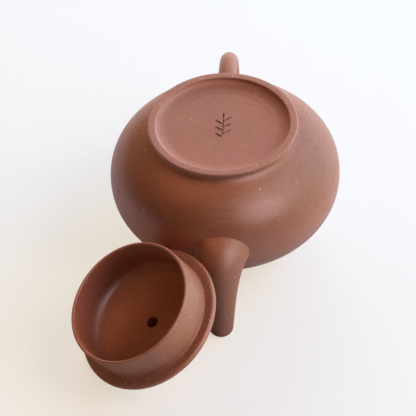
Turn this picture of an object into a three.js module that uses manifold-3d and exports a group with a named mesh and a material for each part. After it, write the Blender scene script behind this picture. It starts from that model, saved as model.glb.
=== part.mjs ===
// A small slab-built clay teapot with its lid taken off.
//
// The pot stands upside down on its mouth ring, and the lid lies beside it, open side up, leaning
// on its knob and the low side of its rim. Millimetres, +Z up; the spout points to -Y.
//
// Each piece is drawn upright in the pot's frame (foot at z = 0) or in the lid's frame (seat at
// z = 0), and two groups turn the pot over and lay the lid down. Pieces that a potter lutes
// together keep a thin layer of slip between them.

import * as THREE from "three";
import { LoftGeometry } from "three/addons/geometries/LoftGeometry.js";
import { mergeVertices } from "three/addons/utils/BufferGeometryUtils.js";
import Module from "manifold-3d";

const wasm = await Module();
wasm.setup();

// ------------------------------------------------------------------ driving dimensions

// Body
const BELLY_RADIUS = 46;
const BELLY_HEIGHT = 27; // the widest circle, above the foot's face
const POT_HEIGHT = 53; // foot's face to mouth
const WALL = 2.6;
const FULLNESS = 2.2; // exponent of the body's outline: 2 is an ellipse, more is squarer
const SHOULDER_RADIUS = 36; // where the closing slab meets the paddled wall
const SLIP = 0.3; // layer of slip between two luted pieces

// Foot and base
const FOOT_RADIUS = 29.5;
const FOOT_FACE = 3.2; // width of the flat face that the pot stands on
const FOOT_HEIGHT = 2.2; // face to waist
const FOOT_FLARE = 1.2; // how far the face stands out past the waist
const FOOT_EDGE = 0.3; // rounding of the face's two edges
const COVE_RISE = 2.8; // cove between the waist and the body
const COVE_RUN = 2.9;
const BASE_THICKNESS = 2.6;
const BASE_RADIUS = 26.5;
const RECESS_FILLET = 4; // sweep from the foot's inner edge to the recessed base

// Mouth and lid
const MOUTH_RING_HEIGHT = 3.4;
const MOUTH_EDGE = 0.4;
const LID_RADIUS = 29.1;
const RIM_THICKNESS = 2.5;
const FLANGE_RADIUS = 25.05;
const FLANGE_WALL = 1.2;
const FLANGE_DEPTH = 14.1;
const FLANGE_CLEARANCE = 0.4; // around the flange in the mouth
const FLANGE_FOOT = 2.6; // fillet between the flange and the lid's underside
const SEAT_COVE = 1.05; // cove between the flange and the seat
const SEAT_COVE_DROP = 0.85; // how far the cove runs down the flange
const LID_RISE = 4.7; // the dome, above the rim
const LID_WALL = 2.6;

// Knob and vent
const KNOB_RADIUS = 6.6;
const KNOB_HEIGHT = 8.6; // of the bead
const KNOB_NECK_RADIUS = 3.5;
const KNOB_NECK_HEIGHT = 0.9; // dome to bead
const VENT_RADIUS = 2.35; // where it opens inside the lid
const VENT_TIP_RADIUS = 1.1; // where it opens on the knob

// Spout
const SPOUT_PROJECTION = 20; // tip, past the belly
const SPOUT_ROOT_HEIGHT = 27.5;
const SPOUT_ROOT_RUN = 8; // how far it heads straight out before it bends
const SPOUT_TIP_RUN = 20; // length of the nearly straight stretch up to the tip
const SPOUT_LEAN = 27; // degrees from upright, at the tip
const SPOUT_TIP_RADIUS = 4.7;
const SPOUT_TAPER = 3.3; // even widening from tip to root
const SPOUT_ROOT_FLARE = 4.8; // extra half-width, all of it close to the root
const SPOUT_ROOT_RISE = 1.6; // the same, in height
const SPOUT_WALL = 1.8;
const STRAINER_RADIUS = 6.6;
const STRAINER_WALL = 1.4;
const STRAINER_HOLE_RADIUS = 0.95;
const STRAINER_RINGS = [[0, 1], [32, 6], [62, 8]]; // degrees from the dome's top, holes

// Handle
const HANDLE_PROJECTION = 22; // outer side, past the belly
const HANDLE_WIDTH = 7.3;
const HANDLE_THICKNESS = 7.4;
const HANDLE_ROOT_SWELL = 1; // extra thickness where it is luted on
const HANDLE_ROOT_INSET = 1; // how far inside the shoulder's radius the line starts
const HANDLE_HIGH_ROOT = 11; // upper root, below the mouth
const HANDLE_RISE_DEPTH = 2; // how far inside the belly's radius the upper curve rises
const HANDLE_HIGH_LEVEL = 1.5; // level that the upper curve is pulled to, below the mouth
const HANDLE_BACK_LEVEL = 17.5; // outermost point, below the mouth
const HANDLE_BACK_RUN = 15.5; // how straight the back runs down from there
const HANDLE_TAIL_RUN = 10; // how far inside the outermost point the lower curve is pulled
const HANDLE_TAIL_DEPTH = 7; // how far inside the belly's radius the lower curve ends
const HANDLE_LUTED_DEPTH = 13; // how far inside it the straight end goes, for the wall to trim
const HANDLE_LOW_ROOT = 12; // height of the lower root

// How the lid lies beside the pot
const LID_GAP = 0.5; // between the rim and the belly, seen from above
const LID_SPOUT_GAP = 0.3; // between the rim and the spout, measured across the spout
const LID_TURN = -40; // degrees, from the lid's bearing to the side that it leans towards

// Facets
const ROUND_FACETS = 48;
const SMALL_FACETS = 20;
const CURVE_STEPS = 4;

// ------------------------------------------------------------------ solids

// A closed geometry as a manifold-3d solid, with its doubled corners merged.
function solid(geometry) {
  geometry.deleteAttribute("normal");
  geometry.deleteAttribute("uv");
  const merged = mergeVertices(new THREE.BufferGeometry().copy(geometry), 1e-4);
  const corners = merged.index.array;
  const kept = [];
  for (let i = 0; i < corners.length; i += 3) {
    const [a, b, c] = corners.slice(i, i + 3);
    if (a !== b && b !== c && c !== a) kept.push(a, b, c);
  }
  return new wasm.Manifold(
    new wasm.Mesh({
      numProp: 3,
      vertProperties: merged.attributes.position.array,
      triVerts: new Uint32Array(kept),
    }),
  );
}

// A named mesh made from a solid.
function piece(name, shape, material) {
  const { vertProperties, triVerts } = shape.getMesh();
  const geometry = new THREE.BufferGeometry();
  geometry.setAttribute("position", new THREE.BufferAttribute(vertProperties, 3));
  geometry.setIndex(new THREE.BufferAttribute(triVerts, 1));
  geometry.computeVertexNormals();
  const mesh = new THREE.Mesh(geometry, material);
  mesh.name = name;
  return mesh;
}

// An outline in (radius, height), outside going up, turned about Z. It closes on itself, or
// starts and ends on the axis.
function turned(outline, facets = ROUND_FACETS) {
  const points = outline.filter((p, i) => i === 0 || p.distanceTo(outline[i - 1]) > 1e-3);
  const onAxis = points[0].x === 0 && points.at(-1).x === 0;
  if (!onAxis) points.push(points[0].clone());
  return solid(new THREE.LatheGeometry(points, facets).rotateX(Math.PI / 2));
}

// A solid lofted along a curve in the plane x = 0. halfWidth and halfThickness give the section's
// half axes, across that plane and in it, at a share t of the curve.
function swept(curve, halfWidth, halfThickness, steps, facets = 20) {
  const across = new THREE.Vector3(1, 0, 0);
  const sections = [];
  for (let i = 0; i <= steps; i++) {
    const t = i / steps;
    const centre = curve.getPointAt(t);
    const out = curve.getTangentAt(t).cross(across).normalize();
    const section = [];
    for (let j = 0; j < facets; j++) {
      const turn = (j / facets) * 2 * Math.PI;
      section.push(
        centre
          .clone()
          .addScaledVector(across, Math.cos(turn) * halfWidth(t))
          .addScaledVector(out, Math.sin(turn) * halfThickness(t)),
      );
    }
    sections.push(section);
  }
  return solid(new LoftGeometry(sections, { capStart: true, capEnd: true }));
}

const at = (radius, height) => new THREE.Vector2(radius, height);
const bend = (from, control, to) =>
  new THREE.QuadraticBezierCurve(from, control, to).getPoints(CURVE_STEPS);

// ------------------------------------------------------------------ the body's outline

const WAIST_RADIUS = FOOT_RADIUS - FOOT_FLARE;
const WAIST_HEIGHT = FOOT_HEIGHT + SLIP;
const COVE_TOP = at(WAIST_RADIUS + COVE_RUN, WAIST_HEIGHT + COVE_RISE);
const MOUTH_BORE = FLANGE_RADIUS + FLANGE_CLEARANCE;
const MOUTH_FLOOR = POT_HEIGHT - MOUTH_RING_HEIGHT - SLIP;

// The outline is a superellipse on each side of the belly. FOOT_SIDE and MOUTH_SIDE are the
// signs of its two halves, and each half is deep enough to pass through the circle where the
// cove, or the mouth ring, meets it.
const FOOT_SIDE = -1;
const MOUTH_SIDE = 1;
const drop = (radius, widest) => (1 - (radius / widest) ** FULLNESS) ** (1 / FULLNESS);
const DEPTH = {
  [FOOT_SIDE]: (BELLY_HEIGHT - COVE_TOP.y) / drop(COVE_TOP.x, BELLY_RADIUS),
  [MOUTH_SIDE]: (MOUTH_FLOOR - BELLY_HEIGHT) / drop(LID_RADIUS, BELLY_RADIUS),
};

// Height of the outline at a radius, on one side of the belly; inset 0 is the outside of the wall.
const wallHeight = (radius, side, inset = 0) =>
  BELLY_HEIGHT + side * (DEPTH[side] - inset) * drop(radius, BELLY_RADIUS - inset);

// The outline as points, from a radius on one side to a radius on one side.
function wallLine(inset, fromRadius, fromSide, toRadius, toSide, steps) {
  const widest = BELLY_RADIUS - inset;
  const angle = (radius, side) => side * Math.acos((radius / widest) ** (FULLNESS / 2));
  const start = angle(fromRadius, fromSide);
  const end = angle(toRadius, toSide);
  const points = [];
  for (let i = 0; i <= steps; i++) {
    const a = start + ((end - start) * i) / steps;
    const side = a < 0 ? FOOT_SIDE : MOUTH_SIDE;
    const height = side * (DEPTH[side] - inset) * Math.abs(Math.sin(a)) ** (2 / FULLNESS);
    points.push(at(widest * Math.cos(a) ** (2 / FULLNESS), BELLY_HEIGHT + height));
  }
  return points;
}

// The body as one full solid, which trims what is luted on its outside.
function bodyBlank(margin) {
  const line = wallLine(-margin, 0, FOOT_SIDE, 0, MOUTH_SIDE, 40);
  line[0].x = 0;
  line.at(-1).x = 0;
  return turned(line);
}

// ------------------------------------------------------------------ pieces of the pot

function bodyWall() {
  const step = 0.1;
  const slope =
    (wallHeight(COVE_TOP.x + step, FOOT_SIDE) - wallHeight(COVE_TOP.x, FOOT_SIDE)) / step;
  const waist = at(WAIST_RADIUS, WAIST_HEIGHT);
  const corner = at(WAIST_RADIUS, COVE_TOP.y - slope * COVE_RUN);
  const wall = turned([
    ...bend(waist, corner, COVE_TOP),
    ...wallLine(0, COVE_TOP.x, FOOT_SIDE, SHOULDER_RADIUS, MOUTH_SIDE, 13),
    ...wallLine(WALL, SHOULDER_RADIUS, MOUTH_SIDE, BASE_RADIUS, FOOT_SIDE, 9),
    at(BASE_RADIUS, WAIST_HEIGHT),
  ]);
  const hole = new THREE.CylinderGeometry(
    STRAINER_RADIUS + SLIP,
    STRAINER_RADIUS + SLIP,
    BELLY_RADIUS,
    SMALL_FACETS,
  ).translate(0, -BELLY_RADIUS, SPOUT_ROOT_HEIGHT);
  return wall.subtract(solid(hole));
}

function shoulderDisc() {
  const edge = SHOULDER_RADIUS - SLIP;
  return turned([
    ...wallLine(WALL, MOUTH_BORE, MOUTH_SIDE, edge, MOUTH_SIDE, 4),
    ...wallLine(0, edge, MOUTH_SIDE, LID_RADIUS, MOUTH_SIDE, 4),
    at(MOUTH_BORE, MOUTH_FLOOR),
  ]);
}

function mouthRing() {
  const floor = POT_HEIGHT - MOUTH_RING_HEIGHT;
  return turned([
    at(MOUTH_BORE, floor),
    at(LID_RADIUS, floor),
    at(LID_RADIUS, POT_HEIGHT - MOUTH_EDGE),
    at(LID_RADIUS - MOUTH_EDGE, POT_HEIGHT),
    at(MOUTH_BORE + MOUTH_EDGE, POT_HEIGHT),
    at(MOUTH_BORE, POT_HEIGHT - MOUTH_EDGE),
  ]);
}

function baseDisc() {
  const edge = BASE_RADIUS - SLIP;
  const floor = WAIST_HEIGHT + BASE_THICKNESS;
  const flat = edge - WALL;
  return turned([
    at(0, WAIST_HEIGHT),
    at(edge, WAIST_HEIGHT),
    at(edge, Math.max(floor, wallHeight(edge, FOOT_SIDE, WALL))),
    at(flat, floor),
    at(0, floor),
  ]);
}

function footRing() {
  const inner = FOOT_RADIUS - FOOT_FACE;
  const toe = SLIP / 2; // blunt end of the fillet under the base
  const lip = at(FOOT_RADIUS, FOOT_EDGE);
  const waist = at(WAIST_RADIUS, FOOT_HEIGHT);
  const fillet = bend(
    at(inner - RECESS_FILLET, FOOT_HEIGHT - toe),
    at(inner - FOOT_EDGE, FOOT_HEIGHT - toe),
    at(inner, FOOT_EDGE),
  );
  return turned([
    at(inner - RECESS_FILLET, FOOT_HEIGHT),
    ...fillet,
    at(inner + FOOT_EDGE, 0),
    at(FOOT_RADIUS - FOOT_EDGE, 0),
    ...bend(lip, at(WAIST_RADIUS, FOOT_HEIGHT / 2), waist),
  ]);
}

// The spout's centre line: out of the belly, one bend, then up and past the level of the mouth,
// where the tip is cut level.
const spoutLean = THREE.MathUtils.degToRad(SPOUT_LEAN);
const spoutUp = new THREE.Vector3(0, -Math.sin(spoutLean), Math.cos(spoutLean));
const spoutTip = new THREE.Vector3(
  0,
  SPOUT_TIP_RADIUS / Math.cos(spoutLean) - BELLY_RADIUS - SPOUT_PROJECTION,
  POT_HEIGHT,
);
const spoutRoot = new THREE.Vector3(0, SPOUT_ROOT_RUN / 2 - BELLY_RADIUS, SPOUT_ROOT_HEIGHT);
const spoutEnd = spoutTip.clone().addScaledVector(spoutUp, SPOUT_TIP_RADIUS);
const spoutLine = new THREE.CubicBezierCurve3(
  spoutRoot,
  spoutRoot.clone().add(new THREE.Vector3(0, -SPOUT_ROOT_RUN, 0)),
  spoutEnd.clone().addScaledVector(spoutUp, -SPOUT_TIP_RUN),
  spoutEnd,
);
const spoutRadius = (t, flare) =>
  SPOUT_TIP_RADIUS + SPOUT_TAPER * (1 - t) + flare * (1 - t) ** 4;

const spoutHalfWidth = (t) => spoutRadius(t, SPOUT_ROOT_FLARE);
const spoutHalfHeight = (t) => spoutRadius(t, SPOUT_ROOT_RISE);

function spout() {
  const bored = (size) => (t) => size(t) - SPOUT_WALL;
  const outside = swept(spoutLine, spoutHalfWidth, spoutHalfHeight, 14, 18);
  const channel = swept(spoutLine, bored(spoutHalfWidth), bored(spoutHalfHeight), 14, 14);
  const above = new THREE.BoxGeometry(BELLY_RADIUS, BELLY_RADIUS, BELLY_RADIUS).translate(
    0,
    spoutTip.y,
    POT_HEIGHT + BELLY_RADIUS / 2,
  );
  return outside.subtract(solid(above)).subtract(channel).subtract(bodyBlank(SLIP));
}

// A pierced thimble luted into the wall behind the spout, its dome inside the pot.
function strainer() {
  const inner = STRAINER_RADIUS - STRAINER_WALL;
  const dome = (radius) =>
    new THREE.Path().absarc(0, WALL, radius, 0, Math.PI / 2).getPoints(CURVE_STEPS);
  let shell = turned(
    [at(inner, 0), at(STRAINER_RADIUS, 0), ...dome(STRAINER_RADIUS), ...dome(inner).reverse()],
    SMALL_FACETS,
  );
  for (const [tilt, count] of STRAINER_RINGS) {
    for (let i = 0; i < count; i++) {
      const drill = new THREE.CylinderGeometry(
        STRAINER_HOLE_RADIUS,
        STRAINER_HOLE_RADIUS,
        3 * STRAINER_WALL,
        6,
      )
        .rotateX(Math.PI / 2)
        .translate(0, 0, STRAINER_RADIUS - STRAINER_WALL / 2)
        .rotateX(THREE.MathUtils.degToRad(tilt))
        .rotateZ((i / count) * 2 * Math.PI)
        .translate(0, 0, WALL);
      shell = shell.subtract(solid(drill));
    }
  }
  return shell;
}

// The ear: from the shoulder out to the level of the mouth, round, and back in below the belly.
function handle() {
  const outermost = BELLY_RADIUS + HANDLE_PROJECTION - HANDLE_THICKNESS / 2;
  const high = POT_HEIGHT - HANDLE_HIGH_LEVEL;
  const back = POT_HEIGHT - HANDLE_BACK_LEVEL;
  const point = (y, z) => new THREE.Vector3(0, y, z);
  const ear = new THREE.CurvePath();
  ear.add(
    new THREE.CubicBezierCurve3(
      point(SHOULDER_RADIUS - HANDLE_ROOT_INSET, POT_HEIGHT - HANDLE_HIGH_ROOT),
      point(BELLY_RADIUS - HANDLE_RISE_DEPTH, high),
      point(outermost, high),
      point(outermost, back),
    ),
  );
  ear.add(
    new THREE.CubicBezierCurve3(
      point(outermost, back),
      point(outermost, back - HANDLE_BACK_RUN),
      point(outermost - HANDLE_TAIL_RUN, HANDLE_LOW_ROOT),
      point(BELLY_RADIUS - HANDLE_TAIL_DEPTH, HANDLE_LOW_ROOT),
    ),
  );
  ear.add(
    new THREE.LineCurve3(
      point(BELLY_RADIUS - HANDLE_TAIL_DEPTH, HANDLE_LOW_ROOT),
      point(BELLY_RADIUS - HANDLE_LUTED_DEPTH, HANDLE_LOW_ROOT),
    ),
  );
  const swell = (t) => HANDLE_ROOT_SWELL * (2 * t - 1) ** 12;
  const strand = swept(
    ear,
    (t) => HANDLE_WIDTH / 2 + swell(t),
    (t) => HANDLE_THICKNESS / 2 + swell(t),
    22,
    14,
  );
  return strand.subtract(bodyBlank(SLIP));
}

// ------------------------------------------------------------------ pieces of the lid

const RIM_ROUND = RIM_THICKNESS / 2;
const RIM_CENTRE_RADIUS = LID_RADIUS - RIM_ROUND;
const SLAB_LEVEL = RIM_ROUND + SLIP / 2; // underside of the lid's slab
const DOME_RADIUS = (RIM_CENTRE_RADIUS ** 2 + LID_RISE ** 2) / (2 * LID_RISE);
const DOME_TOP = RIM_THICKNESS + LID_RISE;
const domeHeight = (radius) =>
  DOME_TOP - DOME_RADIUS + Math.sqrt(DOME_RADIUS ** 2 - radius ** 2);
const KNOB_BASE = DOME_TOP + SLIP;
const KNOB_CENTRE = DOME_TOP + KNOB_NECK_HEIGHT + KNOB_HEIGHT / 2;

// Points of the rounded rim between two angles, 0 being straight out.
const rimLine = (from, to) =>
  new THREE.Path()
    .absarc(RIM_CENTRE_RADIUS, RIM_ROUND, RIM_ROUND, from, to, from > to)
    .getPoints(CURVE_STEPS);
const RIM_SPLIT = Math.asin(SLIP / 2 / RIM_ROUND);

// The ring that thickens the lid's edge and rests on the mouth.
function lidRimRing() {
  const inner = FLANGE_RADIUS + SLIP;
  const seat = FLANGE_RADIUS + SEAT_COVE;
  return turned([
    ...bend(at(inner, -SEAT_COVE_DROP), at(inner, 0), at(seat, 0)),
    ...rimLine(-Math.PI / 2, -RIM_SPLIT),
    at(inner, RIM_ROUND - SLIP / 2),
  ]);
}

// The domed slab, with the vent through its middle.
function lidDisc() {
  const under = (radius) => domeHeight(radius) - LID_WALL;
  const line = (height, from, to, steps) => {
    const points = [];
    for (let i = 0; i <= steps; i++) {
      const radius = from + ((to - from) * i) / steps;
      points.push(at(radius, height(radius)));
    }
    return points;
  };
  const flangeFoot = FLANGE_RADIUS - FLANGE_WALL - FLANGE_FOOT;
  return turned([
    ...line(under, VENT_RADIUS, flangeFoot, 4),
    at(flangeFoot, SLAB_LEVEL),
    ...rimLine(RIM_SPLIT, Math.PI / 2),
    ...line(domeHeight, RIM_CENTRE_RADIUS, VENT_RADIUS, 5),
  ]);
}

// The straight collar that drops into the mouth.
function lidFlange() {
  const inner = FLANGE_RADIUS - FLANGE_WALL;
  const tipRound = FLANGE_WALL / 2;
  const top = RIM_ROUND - SLIP / 2;
  const tip = new THREE.Path()
    .absarc(inner + tipRound, tipRound - FLANGE_DEPTH, tipRound, Math.PI, 2 * Math.PI)
    .getPoints(CURVE_STEPS);
  return turned([
    ...tip,
    at(FLANGE_RADIUS, top),
    at(inner - FLANGE_FOOT, top),
    ...bend(at(inner - FLANGE_FOOT, top - SLIP), at(inner, top - SLIP), at(inner, -FLANGE_FOOT)),
  ]);
}

function lidKnob() {
  const half = KNOB_HEIGHT / 2;
  const start = -Math.acos(KNOB_NECK_RADIUS / KNOB_RADIUS);
  const end = Math.acos(VENT_TIP_RADIUS / KNOB_RADIUS);
  const bead = [];
  const steps = 9;
  for (let i = 0; i <= steps; i++) {
    const a = start + ((end - start) * i) / steps;
    bead.push(at(KNOB_RADIUS * Math.cos(a), KNOB_CENTRE + half * Math.sin(a)));
  }
  return turned(
    [at(VENT_RADIUS, KNOB_BASE), at(KNOB_NECK_RADIUS + SLIP, KNOB_BASE), ...bead],
    SMALL_FACETS,
  );
}

// ------------------------------------------------------------------ how the lid lies

// The lean at which the knob and the rim touch the table together, found by halving.
function restingLean() {
  const half = KNOB_HEIGHT / 2;
  const rimDrop = (a) => RIM_CENTRE_RADIUS * Math.sin(a) + RIM_ROUND;
  const knobDrop = (a) =>
    (KNOB_CENTRE - RIM_ROUND) * Math.cos(a) +
    Math.hypot(KNOB_RADIUS * Math.sin(a), half * Math.cos(a));
  let low = 0;
  let high = Math.PI / 3;
  for (let i = 0; i < 40; i++) {
    const middle = (low + high) / 2;
    if (knobDrop(middle) > rimDrop(middle)) low = middle;
    else high = middle;
  }
  return low;
}

// The rim's middle and the way that the lid opens, when it lies at a bearing from the pot.
function lying(bearing) {
  const lean = restingLean();
  const facing = bearing + THREE.MathUtils.degToRad(LID_TURN);
  const side = bearing - facing;
  const reach = Math.hypot(Math.cos(lean) * Math.cos(side), Math.sin(side));
  const distance = BELLY_RADIUS + LID_GAP + RIM_ROUND + RIM_CENTRE_RADIUS * reach;
  const opening = new THREE.Vector3(
    Math.sin(lean) * Math.cos(facing),
    Math.sin(lean) * Math.sin(facing),
    Math.cos(lean),
  );
  const middle = new THREE.Vector3(
    distance * Math.cos(bearing),
    distance * Math.sin(bearing),
    RIM_CENTRE_RADIUS * Math.sin(lean) + RIM_ROUND,
  );
  return { lean, facing, opening, middle };
}

// The gap between the rim and the spout of the pot, which is upside down.
function spoutGap(bearing) {
  const { opening, middle } = lying(bearing);
  const level = new THREE.Vector3(-opening.y, opening.x, 0).normalize();
  const steep = level.clone().cross(opening);
  let gap = Infinity;
  for (let i = 0; i < ROUND_FACETS; i++) {
    const turn = (i / ROUND_FACETS) * 2 * Math.PI;
    const onRim = middle
      .clone()
      .addScaledVector(level, RIM_CENTRE_RADIUS * Math.cos(turn))
      .addScaledVector(steep, RIM_CENTRE_RADIUS * Math.sin(turn));
    for (let j = 0; j <= ROUND_FACETS; j++) {
      const t = j / ROUND_FACETS;
      const centre = spoutLine.getPointAt(t);
      centre.z = POT_HEIGHT - centre.z;
      const apart = onRim.distanceTo(centre);
      const across = Math.abs(onRim.x - centre.x) / apart;
      const along = Math.sqrt(1 - across ** 2);
      const reach = 1 / Math.hypot(across / spoutHalfWidth(t), along / spoutHalfHeight(t));
      gap = Math.min(gap, apart - RIM_ROUND - reach);
    }
  }
  return gap;
}

// Lay the lid against the belly, turned away from the spout just far enough, found by halving.
function layDown(lid) {
  let near = -Math.PI / 2;
  let far = -Math.PI;
  for (let i = 0; i < 40; i++) {
    const bearing = (near + far) / 2;
    if (spoutGap(bearing) > LID_SPOUT_GAP) far = bearing;
    else near = bearing;
  }
  const { lean, facing, opening, middle } = lying(far);
  lid.rotation.set(0, Math.PI + lean, facing, "ZYX");
  lid.position.copy(middle).addScaledVector(opening, RIM_ROUND);
}

// ------------------------------------------------------------------ assembly

const clay = (color, roughness) =>
  new THREE.MeshStandardMaterial({ color, roughness, metalness: 0 });
const BURNISHED = 0.5;
const BARE = 0.75;

const pot = new THREE.Group();
const strainerMesh = piece("spout_strainer", strainer(), clay(0x6e3f2e, BARE));
// The thimble's axis turns from Z to Y, and its open end sits just inside the wall's outer face.
strainerMesh.rotation.x = -Math.PI / 2;
strainerMesh.position.set(0, WALL / 2 - BELLY_RADIUS, SPOUT_ROOT_HEIGHT);
pot.add(
  piece("body_wall", bodyWall(), clay(0x7f4a36, BURNISHED)),
  piece("shoulder_disc", shoulderDisc(), clay(0x7a4633, BURNISHED)),
  piece("mouth_ring", mouthRing(), clay(0x84503b, BARE)),
  piece("base_disc", baseDisc(), clay(0xa8715f, BARE)),
  piece("foot_ring", footRing(), clay(0x9f6853, BARE)),
  piece("spout", spout(), clay(0x7d4a37, BURNISHED)),
  strainerMesh,
  piece("handle", handle(), clay(0xa37464, BURNISHED)),
);
pot.rotation.y = Math.PI;
pot.position.z = POT_HEIGHT;

const lid = new THREE.Group();
lid.add(
  piece("lid_disc", lidDisc(), clay(0x6a3a24, BURNISHED)),
  piece("lid_rim_ring", lidRimRing(), clay(0x74462f, BARE)),
  piece("lid_flange", lidFlange(), clay(0x8c5544, BURNISHED)),
  piece("lid_knob", lidKnob(), clay(0x7a4a38, BURNISHED)),
);
layDown(lid);

// The part's origin is the middle of its footprint, on the table.
const teapot = new THREE.Group();
teapot.add(pot, lid);
const box = new THREE.Box3().setFromObject(teapot, true);
const middle = box.getCenter(new THREE.Vector3());
teapot.position.set(-middle.x, -middle.y, -box.min.z);

const part = new THREE.Group();
part.add(teapot);

export default part;
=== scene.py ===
# %% [markdown]
# A small slab-built clay teapot, upside down on its mouth, with its lid beside it.
# The CAD frame is loaded first. It says where every piece is, and this lesson never moves it:
# each piece below takes its place from the frame, and stands for the CAD node of its name.

# %% Load the frame
import math

import bpy
import numpy as np
from mathutils import Matrix, Vector


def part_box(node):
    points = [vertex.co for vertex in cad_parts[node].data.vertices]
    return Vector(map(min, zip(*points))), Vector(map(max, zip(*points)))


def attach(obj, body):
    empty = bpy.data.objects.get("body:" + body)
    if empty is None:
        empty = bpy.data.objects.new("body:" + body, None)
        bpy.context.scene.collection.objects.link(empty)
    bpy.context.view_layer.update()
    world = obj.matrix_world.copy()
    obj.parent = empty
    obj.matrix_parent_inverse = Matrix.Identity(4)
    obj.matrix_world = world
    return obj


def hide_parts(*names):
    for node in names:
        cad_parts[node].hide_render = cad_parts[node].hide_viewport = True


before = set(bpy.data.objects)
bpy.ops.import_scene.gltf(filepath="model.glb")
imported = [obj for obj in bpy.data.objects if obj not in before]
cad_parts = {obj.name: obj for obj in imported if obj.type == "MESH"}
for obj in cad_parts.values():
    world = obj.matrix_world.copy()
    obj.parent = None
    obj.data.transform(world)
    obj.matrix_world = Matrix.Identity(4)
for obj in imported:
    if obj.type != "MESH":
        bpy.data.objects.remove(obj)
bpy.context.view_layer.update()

MM = 0.001

# %% [markdown]
# The potter works with the pot the right way up, so the pot's pieces are drawn with the foot's
# face at height 0, and one matrix turns them over on to the table. The frame gives the axis, the
# table and the few radii that everything else follows.

# %% Where the pot stands
foot_low, foot_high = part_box("foot_ring")
wall_low, wall_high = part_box("body_wall")
pot_axis = (foot_low + foot_high) / 2
pot_height = foot_high.z
turn_over = Matrix.Rotation(math.pi, 4, "Y")
POT_PLACE = Matrix.Translation((pot_axis.x, pot_axis.y, pot_height)) @ turn_over

BELLY_RADIUS = (wall_high.x - wall_low.x) / 2
FOOT_RADIUS = (foot_high.x - foot_low.x) / 2
print(f"pot {pot_height / MM:.1f} mm high, belly radius {BELLY_RADIUS / MM:.1f} mm")

# %% [markdown]
# The lid lies open, leaning on its knob. Its rim ring is flat, so the direction in which the
# ring's points spread least is the lid's axis. The tip of the flange then says how far along
# that axis the seat is.

# %% Where the lid lies
FLANGE_DEPTH = 14.1 * MM


def points_of(node):
    return np.array([vertex.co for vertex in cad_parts[node].data.vertices])


rim_points = points_of("lid_rim_ring")
spread = np.linalg.svd(rim_points - rim_points.mean(0), full_matrices=False)[2]
lid_opening = Vector(spread[2] if spread[2][2] > 0 else -spread[2])
rim_low, rim_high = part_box("lid_rim_ring")
rim_middle = (rim_low + rim_high) / 2
flange_tip = max(points_of("lid_flange") @ np.array(lid_opening))
to_seat = flange_tip - FLANGE_DEPTH - rim_middle.dot(lid_opening)
lid_seat = rim_middle + lid_opening * to_seat
knob_up = (-lid_opening).to_track_quat("Z", "Y").to_matrix().to_4x4()
LID_PLACE = Matrix.Translation(lid_seat) @ knob_up
LID_RADIUS = np.ptp(rim_points @ np.array(lid_opening.orthogonal().normalized())) / 2
lean = math.degrees(lid_opening.angle((0, 0, 1)))
print(f"lid leans {lean:.1f} degrees, radius {LID_RADIUS / MM:.1f} mm")

# %% [markdown]
# The camera looks down at the base at about 45 degrees with a long lens, so the circles stay
# close to true ellipses. It is rolled a few degrees, as a camera held in the hand is.

# %% Camera
VIEW_TURN = math.radians(4.9)
VIEW_HEIGHT = math.radians(45.56)
VIEW_ROLL = math.radians(3.32)
VIEW_DISTANCE = 710.1 * MM
VIEW_AIM = Vector((-5.94, -20.46, -0.5)) * MM
LENS = 155.8
SENSOR_WIDTH = 36

aim = Vector((pot_axis.x, pot_axis.y, pot_height / 2)) + VIEW_AIM
level = math.cos(VIEW_HEIGHT)
away = Vector((level * math.sin(VIEW_TURN), -level * math.cos(VIEW_TURN), math.sin(VIEW_HEIGHT)))
camera = bpy.data.objects.new("camera", bpy.data.cameras.new("camera"))
camera.data.lens = LENS
camera.data.sensor_width = SENSOR_WIDTH
camera.rotation_euler = (
    away.to_track_quat("Z", "Y").to_matrix() @ Matrix.Rotation(-VIEW_ROLL, 3, "Z")
).to_euler()
camera.location = aim + away * VIEW_DISTANCE
bpy.context.scene.collection.objects.link(camera)
bpy.context.scene.camera = camera
print("camera at", [round(value / MM, 1) for value in camera.location], "mm")

# %% [markdown]
# A clean product picture needs a pale floor that runs out of view. The floor here is half lit
# and half glowing: a shadow takes away only the lit part, which is cool, so what is left of it
# is cream. Only the camera sees that. To the clay the floor is a plain pale grey.

# %% The floor
scene = bpy.context.scene
scene.view_settings.view_transform = "Standard"
world = bpy.data.worlds.new("studio")
world.use_nodes = True
world.node_tree.nodes["Background"].inputs["Strength"].default_value = 0.0
scene.world = world

FLOOR_SPREAD = 40
floor_mesh = bpy.data.meshes.new("floor")
reach = FLOOR_SPREAD * BELLY_RADIUS
floor_mesh.from_pydata(
    [(-reach, -reach, 0), (reach, -reach, 0), (reach, reach, 0), (-reach, reach, 0)],
    [],
    [(0, 1, 2, 3)],
)
floor = bpy.data.objects.new("floor", floor_mesh)
scene.collection.objects.link(floor)
COOL_SHARE = (0.24, 0.325, 0.375, 1)
CREAM_SHARE = (0.68, 0.6, 0.515, 1)
PLAIN_GREY = (0.75, 0.75, 0.75, 1)
paper = bpy.data.materials.new("paper")
paper.use_nodes = True
paper_tree = paper.node_tree
paper_tree.nodes.remove(paper_tree.nodes["Principled BSDF"])
dull = paper_tree.nodes.new("ShaderNodeBsdfDiffuse")
glow = paper_tree.nodes.new("ShaderNodeEmission")
seen = paper_tree.nodes.new("ShaderNodeAddShader")
lit = paper_tree.nodes.new("ShaderNodeMixShader")
grey = paper_tree.nodes.new("ShaderNodeBsdfDiffuse")
ray_kind = paper_tree.nodes.new("ShaderNodeLightPath")
dull.inputs["Color"].default_value = COOL_SHARE
glow.inputs["Color"].default_value = CREAM_SHARE
grey.inputs["Color"].default_value = PLAIN_GREY
paper_tree.links.new(dull.outputs["BSDF"], seen.inputs[0])
paper_tree.links.new(glow.outputs["Emission"], seen.inputs[1])
paper_tree.links.new(ray_kind.outputs["Is Camera Ray"], lit.inputs["Fac"])
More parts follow.
